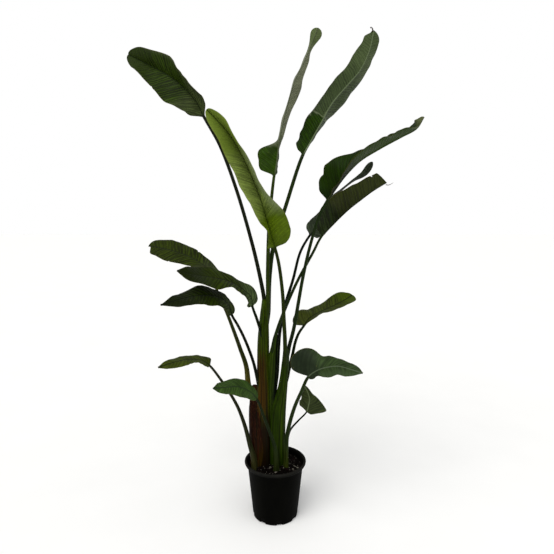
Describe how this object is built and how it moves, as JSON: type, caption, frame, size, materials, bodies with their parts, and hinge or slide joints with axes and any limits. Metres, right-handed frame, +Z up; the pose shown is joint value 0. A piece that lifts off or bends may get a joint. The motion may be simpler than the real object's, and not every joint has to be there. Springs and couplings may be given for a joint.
{
  "type": "potted bird of paradise",
  "caption": "Potted giant bird of paradise: long-stalked, ribbed leaves that rise from two bundles of leaf sheaths in a round nursery pot.",
  "frame": {"origin": "centre of the pot's base, on the surface that it stands on", "axes": "+Z up along the pot's axis, -Y towards the side seen in the picture, +X to the right of that view"},
  "size_m": [1.1592, 0.6028, 2.0238],
  "materials": {
    "leaf": "satin",
    "young_leaf": "satin",
    "leaf_underside": "satin",
    "bluish_leaf": "satin",
    "sheath": "satin",
    "dry_sheath": "matte",
    "peat": "matte",
    "pot_plastic": "matte"
  },
  "bodies": {
    "root": {"leaf_top_left": "leaf", "leaf_top_right": "leaf", "leaf_right_long": "leaf", "leaf_right_narrow": "leaf", "leaf_right_arching": "leaf", "leaf_left_upper": "leaf", "leaf_left_middle": "leaf", "leaf_left_lower": "leaf", "leaf_left_small": "leaf", "leaf_right_middle": "leaf", "leaf_front_high": "young_leaf", "leaf_top_middle": "leaf_underside", "leaf_front_low": "bluish_leaf", "leaf_right_broad": "bluish_leaf", "leaf_back_small": "bluish_leaf", "stem_left": "sheath", "stem_right": "sheath", "sheath_dry": "dry_sheath", "soil": "peat", "pot": "pot_plastic"}
  },
  "joints": []
}
